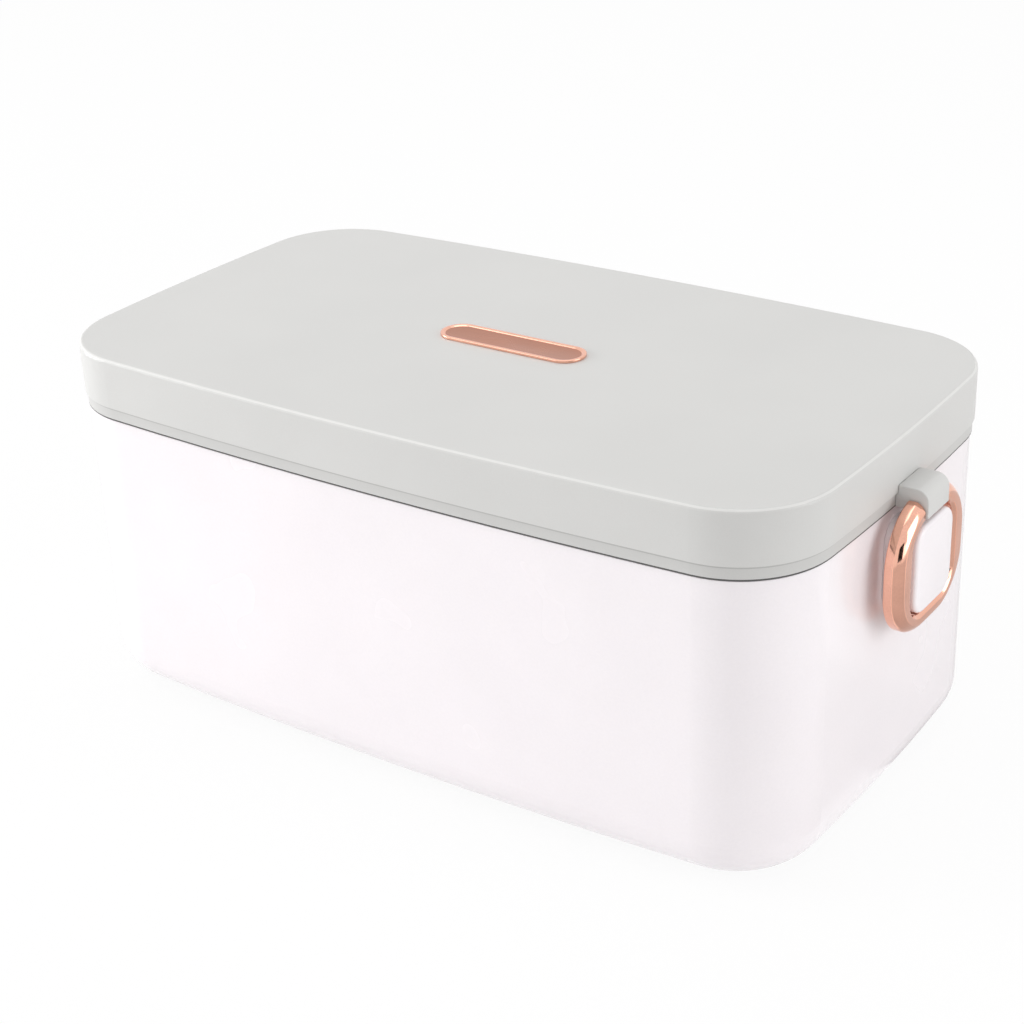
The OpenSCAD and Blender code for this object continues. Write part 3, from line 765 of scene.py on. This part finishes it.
@dataclass
class RingLatch:
    """The bail ring, its hook and its catch pad on the right-hand end, and their mirror images.

    All sizes are in millimetres, and turns in degrees. Backs and fronts are measured outward
    from the lid's end, and tops and drops from the ring's top. Past is how far a cutter reaches
    beyond what it cuts.
    """

    shop: Workshop
    lid_end: float
    top: float
    width: float = 43.5
    height: float = 40.5
    corner: float = 17.0
    open_width: float = 28.0
    open_top: float = 6.0
    open_height: float = 29.0
    open_corner: float = 8.0
    back: float = 3.2
    front: float = 8.7
    bevel: float = 2.6
    lip: float = 1.0
    pivot_radius: float = 2.1
    pivot_sink: float = 0.55
    pivot_seat: float = 1.2
    gap_half: float = 7.35
    hook_half: float = 7.0
    hook_front: float = 9.3
    hook_round: float = 3.8
    hook_above: float = 3.4
    hook_below: float = 5.0
    hook_back_below: float = 3.2
    root_back: float = -0.55
    root_above: float = 0.9
    pad_drop: float = 0.7
    pad_half: float = 12.0
    pad_front: float = 9.1
    pad_back: float = -1.1
    pad_corner: float = 6.0
    pad_roof: float = 1.0
    pad_round: float = 1.25
    ring_sides: int = 96
    open_sides: int = 64
    bar_sides: int = 32
    bore_sides: int = 48
    bevel_steps: int = 8
    bevel_profile: float = 0.36
    bevel_margin: float = 1.2
    lip_margin: float = 0.1
    back_round: float = 0.6
    ring_soft: float = 0.45
    ring_soft_turn: float = 20.0
    gap_depth: float = 3.0
    hook_soft: float = 0.35
    hook_soft_turn: float = 35.0
    bore_play: float = 0.05
    bore_length: float = 20.0
    slot_half: float = 1.8
    heel_back: float = 1.7
    root_play: float = 0.05
    root_front: float = 1.0
    corner_steps: int = 12
    face_steps: int = 5
    past: float = 2.0

    @property
    def pivot(self) -> Point:
        """The middle of the ring's bar, which the ring swings about."""
        out = self.lid_end + self.back + self.pivot_radius
        return (out, 0.0, self.top - self.pivot_radius - self.pivot_sink)

    def build(self) -> None:
        """Builds the three pieces of each latch and fixes them to their bodies."""
        metal = self.shop.coat(ROSE_METAL)
        grey = self.shop.coat(GREY_LID)
        white = self.shop.coat(WHITE_BODY)
        for maker, label, finish, slot, bodies in (
            (self.ring, "latch_ring", metal, "rose_metal", ("ring_right", "ring_left")),
            (self.hook, "hook", grey, "grey_lid", ("lid", "lid")),
            (self.pad, "catch", white, "white_body", ("base", "base")),
        ):
            right = maker()
            right.dress(finish)
            left = right.mirrored(f"{label}_left_piece")
            place_piece(right, bodies[0], slot, f"{label}_right")
            place_piece(left, bodies[1], slot, f"{label}_left")

    def ring(self) -> Blank:
        """The polished ring: a bevelled frame with a round bar across its top.

        Returns:
            The ring in its hanging place.
        """
        x0, x1 = self.lid_end + self.back, self.lid_end + self.front
        depth = x1 - x0
        outward = (0.0, 90.0, 0.0)
        ring = Blank.cylinder(
            "latch_ring_right_piece",
            ((x0 + x1) / 2, 0.0, self.top - self.height / 2),
            self.corner,
            depth,
            outward,
            self.ring_sides,
        )
        ring.spread(0.0, self.width / 2 - self.corner, self.height / 2 - self.corner)
        opening = Blank.cylinder(
            "opening",
            ((x0 + x1) / 2, 0.0, self.top - self.open_top - self.open_height / 2),
            self.open_corner,
            depth + 2 * self.past,
            outward,
            self.open_sides,
        )
        opening.spread(
            0.0, self.open_width / 2 - self.open_corner, self.open_height / 2 - self.open_corner
        )
        ring.cut(opening)
        ring.round_edges(
            lambda a, b: both_at(a, b, x1) and self._by_opening(self.lip_margin, a, b), self.lip, 1
        )
        ring.round_edges(
            lambda a, b: both_at(a, b, x1) and not self._by_opening(self.bevel_margin, a),
            self.bevel,
            self.bevel_steps,
            self.bevel_profile,
        )
        ring.round_edges(lambda a, b: both_at(a, b, x0), self.back_round, 2)
        low, high = self.top - self.open_top - self.gap_depth, self.top + 2 * self.past
        gap_low = (x0 - self.past, -self.gap_half, low)
        ring.cut(Blank.cube("gap", gap_low, (x1 + self.past, self.gap_half, high)))
        ring.soften(self.ring_soft, angle=self.ring_soft_turn)
        length = 2 * (self.gap_half + self.pivot_seat)
        sideways = (90.0, 0.0, 0.0)
        ring.join(
            Blank.cylinder("bar", self.pivot, self.pivot_radius, length, sideways, self.bar_sides)
        )
        return ring

    def _by_opening(self, margin: float, *points: Vector) -> bool:
        """Whether points lie on the opening's side of the ring's face.

        Args:
            margin: How far past the opening's edge a point still counts.
            points: The points to test.

        Returns:
            True if all of them do.
        """
        side = self.open_width / 2 + margin
        high = self.top - self.open_top + margin
        low = self.top - self.open_top - self.open_height - margin
        return all(abs(point.y) < side and low < point.z < high for point in points)

    def hook(self) -> Blank:
        """The hook that the ring's bar snaps into, rounded over its top.

        Returns:
            The hook on the lid's end.
        """
        x0, x1 = self.lid_end, self.lid_end + self.hook_front
        pivot_x, _, pivot_z = self.pivot
        high, low = self.top + self.hook_above, self.top - self.hook_below
        side = self.hook_half + self.past
        under = low - self.past / 2
        hook = Blank.cube("hook_right_piece", (x0, -self.hook_half, low), (x1, self.hook_half, high))
        hook.round_edges(
            lambda a, b: both_at(a, b, x1) and near(a.z, high) and near(b.z, high),
            self.hook_round,
            self.corner_steps,
        )
        hook.soften(self.hook_soft, angle=self.hook_soft_turn)
        bore = self.pivot_radius + self.bore_play
        sideways = (90.0, 0.0, 0.0)
        hook.cut(
            Blank.cylinder("bore", self.pivot, bore, self.bore_length, sideways, self.bore_sides)
        )
        slot_low = (pivot_x - self.slot_half, -side, under)
        hook.cut(Blank.cube("slot", slot_low, (pivot_x + self.slot_half, side, pivot_z)))
        heel = self.top - self.hook_back_below
        heel_low = (x0 - self.past / 2, -side, under)
        hook.cut(Blank.cube("heel", heel_low, (pivot_x - self.heel_back, side, heel)))
        root_half = self.hook_half - self.root_play
        root_low = (x0 + self.root_back, -root_half, heel + self.root_play)
        root_high = (x0 + self.root_front, root_half, self.top + self.root_above)
        hook.join(Blank.cube("root", root_low, root_high))
        return hook

    def pad(self) -> Blank:
        """The catch pad inside the ring, with a full rounded face.

        Returns:
            The pad on the body's end.
        """
        x0, x1 = self.lid_end + self.pad_back, self.lid_end + self.pad_front
        roof = self.top - self.open_top
        low, high = roof - self.open_height + self.pad_drop, roof - self.pad_roof
        pad = Blank.cube("catch_right_piece", (x0, -self.pad_half, low), (x1, self.pad_half, high))
        pad.round_edges(
            lambda a, b: near(a.y, b.y) and near(a.z, b.z), self.pad_corner, self.corner_steps
        )
        pad.round_edges(lambda a, b: both_at(a, b, x1), self.pad_round, self.face_steps)
        return pad


@dataclass
class BadgePlate:
    """The bare obround plate on the lid: polished rim round a brushed, sunk field.

    Sizes are in millimetres, and the edge's least turn in degrees.
    """

    shop: Workshop
    lid_top: float
    length: float = 52.0
    width: float = 13.0
    height: float = 0.9
    rim: float = 1.1
    sink: float = 0.4
    slope: float = 0.45
    edge: float = 0.2
    edge_steps: int = 4
    edge_turn: float = 25.0
    sides: int = 80

    def build(self) -> None:
        """Builds the plate, dresses its rim and field, and fixes it to the lid."""
        low, high = self.lid_top, self.lid_top + self.height
        plate = Blank.cylinder(
            "badge_plate_piece",
            (0.0, 0.0, (low + high) / 2),
            self.width / 2,
            self.height,
            (0.0, 0.0, 180.0 / self.sides),
            self.sides,
        )
        plate.spread((self.length - self.width) / 2, 0.0, 0.0)
        plate.edit("FACE")
        plate.pick_faces(lambda centre, normal: normal.z > FACING_UP)
        bpy.ops.mesh.inset(thickness=self.rim * MM, depth=0.0)
        bpy.ops.mesh.inset(thickness=self.slope * MM, depth=-self.sink * MM)
        bpy.ops.object.mode_set(mode="OBJECT")
        plate.dress(self.shop.coat(ROSE_METAL), self.shop.coat(ROSE_BRUSHED))
        half_sunk = (high - self.sink * 0.5) * MM
        for face in plate.obj.data.polygons:
            if face.normal.z > FACING_UP and face.center.z < half_sunk:
                face.material_index = 1
        plate.soften(self.edge, self.edge_steps, self.edge_turn)
        place_piece(plate, "lid", "rose_metal", "badge_plate")


@dataclass
class Housing:
    """The CAD nodes whose shape is right: each gets the finish of its own piece."""

    shop: Workshop
    nodes: dict[str, bpy.types.Object]
    finishes: dict[str, Finish] = field(
        default_factory=lambda: {
            "body_shell": WHITE_BODY,
            "catch_right": WHITE_BODY,
            "catch_left": WHITE_BODY,
            "base_cover": DARK_BASE,
            "base_screws": SCREW_STEEL,
            "rubber_feet": FOOT_RUBBER,
            "collar_ring": GREY_BAND,
            "water_pan": PAN_STEEL,
            "heating_element": HEATER_ALLOY,
            "heater_clamp": CLAMP_STEEL,
            "clamp_nuts": SCREW_STEEL,
            "thermostat": PHENOLIC,
            "thermal_cutout": CERAMIC,
            "power_inlet": SOCKET_BLACK,
            "inlet_pins": PIN_BRASS,
            "indicator_lens": LAMP_LENS,
            "indicator_board": BOARD_GREEN,
            "internal_leads": LEAD_SLEEVE,
            "catch_screws": SCREW_STEEL,
            "lid_cover": GREY_LID,
            "lid_liner": GREY_BAND,
            "lid_seal": SEAL_SILICONE,
            "lid_screws": SCREW_STEEL,
            "badge_plate": ROSE_METAL,
            "hook_right": GREY_LID,
            "hook_left": GREY_LID,
            "latch_ring_right": ROSE_METAL,
            "latch_ring_left": ROSE_METAL,
            "container_right": TUB_STEEL,
            "container_left": TUB_STEEL,
            "container_lid_right": CAP_PLASTIC,
            "container_lid_left": CAP_PLASTIC,
            "container_seal_right": ROSE_SILICONE,
            "container_seal_left": ROSE_SILICONE,
            "vent_plug_right": ROSE_SILICONE,
            "vent_plug_left": ROSE_SILICONE,
        }
    )

    def build(self) -> None:
        """Dresses every CAD node in its finish."""
        for name, node in self.nodes.items():
            finish = self.finishes[name]
            node.data.materials.clear()
            node.data.materials.append(self.shop.coat(finish))
            log.info("%s wears %s", name, finish.name)


@dataclass
class Softbox:
    """One soft lamp: where it stands, what it faces, its size in metres and its strength."""

    name: str
    place: Point
    target: Point
    width: float
    height: float
    watts: float

    def build(self) -> None:
        """Sets the lamp up."""
        data = bpy.data.lights.new(self.name, "AREA")
        data.shape = "RECTANGLE"
        data.size = self.width
        data.size_y = self.height
        data.energy = self.watts
        lamp = bpy.data.objects.new(self.name, data)
        bpy.context.scene.collection.objects.link(lamp)
        lamp.location = self.place
        aim = Vector(self.target) - Vector(self.place)
        lamp.rotation_euler = aim.to_track_quat("-Z", "Y").to_euler()


@dataclass
class Card:
    """A grey card that only mirror-like reflections show.

    Its place and edges are in metres, and its turn about the upright is in radians.
    """

    name: str
    place: Point
    turn: float
    size: Point
    grey: float

    def build(self) -> None:
        """Sets the card up, out of sight of the camera and without a shadow."""
        settle()
        upright = (0.0, 0.0, self.turn)
        bpy.ops.mesh.primitive_cube_add(size=1.0, location=self.place, rotation=upright)
        card = bpy.context.object
        card.name = self.name
        card.scale = self.size
        bpy.ops.object.transform_apply(location=True, rotation=True, scale=True)
        material = bpy.data.materials.new(self.name)
        material.use_nodes = True
        shader = material.node_tree.nodes["Principled BSDF"]
        shader.inputs["Base Color"].default_value = (self.grey, self.grey, self.grey, 1.0)
        shader.inputs["Roughness"].default_value = PAPER_ROUGHNESS
        shader.inputs["Specular IOR Level"].default_value = 0.0
        card.data.materials.append(material)
        card.visible_camera = False
        card.visible_shadow = False
        card.visible_diffuse = False
        card.visible_transmission = False


@dataclass
class Studio:
    """White studio, pale floor, cards, soft lamps and the camera.

    Angles are in degrees, the lens and its sensor in millimetres, and all else in metres.
    """

    azimuth: float = 35.25
    elevation: float = 25.93
    roll: float = 2.28
    distance: float = 0.6578
    target: Point = (0.0, 0.0, 0.0609)
    lens: float = 72.0
    shift_x: float = -0.00726
    shift_y: float = 0.00562
    sensor: float = 36.0
    nearest: float = 0.01
    farthest: float = 50.0
    ambient: float = 0.63
    ambient_colour: Colour = (1.0, 0.99, 0.985)
    floor_size: float = 12.0
    floor_level: float = -0.0002
    floor_grey: float = 0.9
    floor_glow: float = 0.92
    cards: Sequence[Card] = (
        Card("studio_dark_card", (1.07, -0.6, 0.27), -0.565, (0.004, 0.5, 0.5), 0.016),
        Card("studio_near_card", (0.4, -0.22, 0.001), 0.0, (0.51, 0.56, 0.0005), 0.66),
        Card("studio_far_card", (0.204, 0.267, 0.001), 0.956, (0.5, 0.2, 0.0005), 0.76),
    )
    lamps: Sequence[Softbox] = (
        Softbox("left_box", (-1.7, -0.7, 0.35), (0.0, 0.0, 0.06), 0.9, 0.9, 20.0),
        Softbox("front_left_box", (-1.1, -1.3, 0.75), (0.0, 0.0, 0.06), 1.1, 1.0, 3.6),
        Softbox("right_box", (1.5, 0.25, 0.55), (0.0, 0.0, 0.06), 0.9, 0.9, 6.1),
        Softbox("right_low_box", (1.7, -0.1, 0.2), (0.0, 0.0, 0.06), 0.9, 0.6, 1.9),
        Softbox("top_box", (-0.1, 0.2, 1.6), (0.0, 0.0, 0.06), 1.2, 1.2, 5.6),
        Softbox("badge_box", (-0.93, -0.61, 1.5), (0.0, 0.0, 0.12), 0.6, 0.6, 2.0),
    )

    def build(self) -> None:
        """Sets up the colours, the surroundings, the lamps, the floor and the camera."""
        scene = bpy.context.scene
        scene.view_settings.view_transform = "Standard"
        self._surroundings()
        self._floor()
        for card in self.cards:
            card.build()
        for lamp in self.lamps:
            lamp.build()
        self._camera()

    def _background_test(self, tree: bpy.types.NodeTree) -> bpy.types.NodeSocket:
        """A socket that is 1 where a camera, glossy or transmission ray looks.

        Args:
            tree: The node tree to add to.

        Returns:
            The socket with the test.
        """
        path = tree.nodes.new("ShaderNodeLightPath")
        seen = path.outputs["Is Camera Ray"]
        for name in ("Is Glossy Ray", "Is Transmission Ray"):
            add = tree.nodes.new("ShaderNodeMath")
            add.operation = "ADD"
            add.use_clamp = True
            tree.links.new(seen, add.inputs[0])
            tree.links.new(path.outputs[name], add.inputs[1])
            seen = add.outputs["Value"]
        return seen

    def _surroundings(self) -> None:
        """A white world to look at, that gives the object less light than it shows."""
        world = bpy.data.worlds.new("studio")
        bpy.context.scene.world = world
        world.use_nodes = True
        tree = world.node_tree
        tree.nodes.clear()
        out = tree.nodes.new("ShaderNodeOutputWorld")
        shown = tree.nodes.new("ShaderNodeBackground")
        shown.inputs["Color"].default_value = (1.0, 1.0, 1.0, 1.0)
        shown.inputs["Strength"].default_value = 1.0
        light = tree.nodes.new("ShaderNodeBackground")
        light.inputs["Color"].default_value = (*self.ambient_colour, 1.0)
        light.inputs["Strength"].default_value = self.ambient
        mix = tree.nodes.new("ShaderNodeMixShader")
        tree.links.new(self._background_test(tree), mix.inputs["Fac"])
        tree.links.new(light.outputs["Background"], mix.inputs[1])
        tree.links.new(shown.outputs["Background"], mix.inputs[2])
        tree.links.new(mix.outputs["Shader"], out.inputs["Surface"])

    def _floor(self) -> None:
        """A pale floor that shows nearly white and keeps a trace of the object's shadow."""
        settle()
        place = (0.0, 0.0, self.floor_level)
        bpy.ops.mesh.primitive_plane_add(size=self.floor_size, location=place)
        floor = bpy.context.object
        floor.name = "studio_floor"
        bpy.ops.object.transform_apply(location=True, rotation=True, scale=True)
        material = bpy.data.materials.new("floor_paper")
        material.use_nodes = True
        tree = material.node_tree
        shader = tree.nodes["Principled BSDF"]
        grey = self.floor_grey
        shader.inputs["Base Color"].default_value = (grey, grey, grey, 1.0)
        shader.inputs["Roughness"].default_value = PAPER_ROUGHNESS
        shader.inputs["Specular IOR Level"].default_value = 0.0
        glow = tree.nodes.new("ShaderNodeEmission")
        glow.inputs["Strength"].default_value = 1.0
        mix = tree.nodes.new("ShaderNodeMixShader")
        seen = tree.nodes.new("ShaderNodeMath")
        seen.operation = "MULTIPLY"
        seen.inputs[1].default_value = self.floor_glow
        tree.links.new(self._background_test(tree), seen.inputs[0])
        tree.links.new(seen.outputs["Value"], mix.inputs["Fac"])
        tree.links.new(shader.outputs["BSDF"], mix.inputs[1])
        tree.links.new(glow.outputs["Emission"], mix.inputs[2])
        tree.links.new(mix.outputs["Shader"], tree.nodes["Material Output"].inputs["Surface"])
        floor.data.materials.append(material)

    def _camera(self) -> None:
        """The camera at the photograph's angle, with its slight roll."""
        az, el, roll = (math.radians(v) for v in (self.azimuth, self.elevation, self.roll))
        away = Vector((math.cos(el) * math.sin(az), -math.cos(el) * math.cos(az), math.sin(el)))
        right = Vector((math.cos(az), math.sin(az), 0.0))
        up = away.cross(right)
        right_rolled = right * math.cos(roll) - up * math.sin(roll)
        up_rolled = right * math.sin(roll) + up * math.cos(roll)
        data = bpy.data.cameras.new("camera")
        data.lens = self.lens
        data.sensor_width = self.sensor
        data.shift_x = self.shift_x
        data.shift_y = self.shift_y
        data.clip_start = self.nearest
        data.clip_end = self.farthest
        camera = bpy.data.objects.new("camera", data)
        bpy.context.scene.collection.objects.link(camera)
        turn = Matrix((right_rolled, up_rolled, away)).transposed().to_4x4()
        place = Vector(self.target) + away * self.distance
        camera.matrix_world = Matrix.Translation(place) @ turn
        bpy.context.scene.camera = camera


def main() -> None:
    """Loads the frame, dresses it, adds the pieces and sets up the studio."""
    logging.basicConfig(level=logging.INFO, format="%(name)s: %(message)s")
    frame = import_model()
    shop = Workshop()
    _, cover_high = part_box("lid_cover")
    _, hook_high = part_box("hook_right")
    ring_top = hook_high[2] / MM - RingLatch.hook_above
    Housing(shop, frame["nodes"]).build()
    RingLatch(shop, lid_end=cover_high[0] / MM, top=ring_top).build()
    BadgePlate(shop, lid_top=cover_high[2] / MM).build()
    Studio().build()


if __name__ == "__main__":
    main()
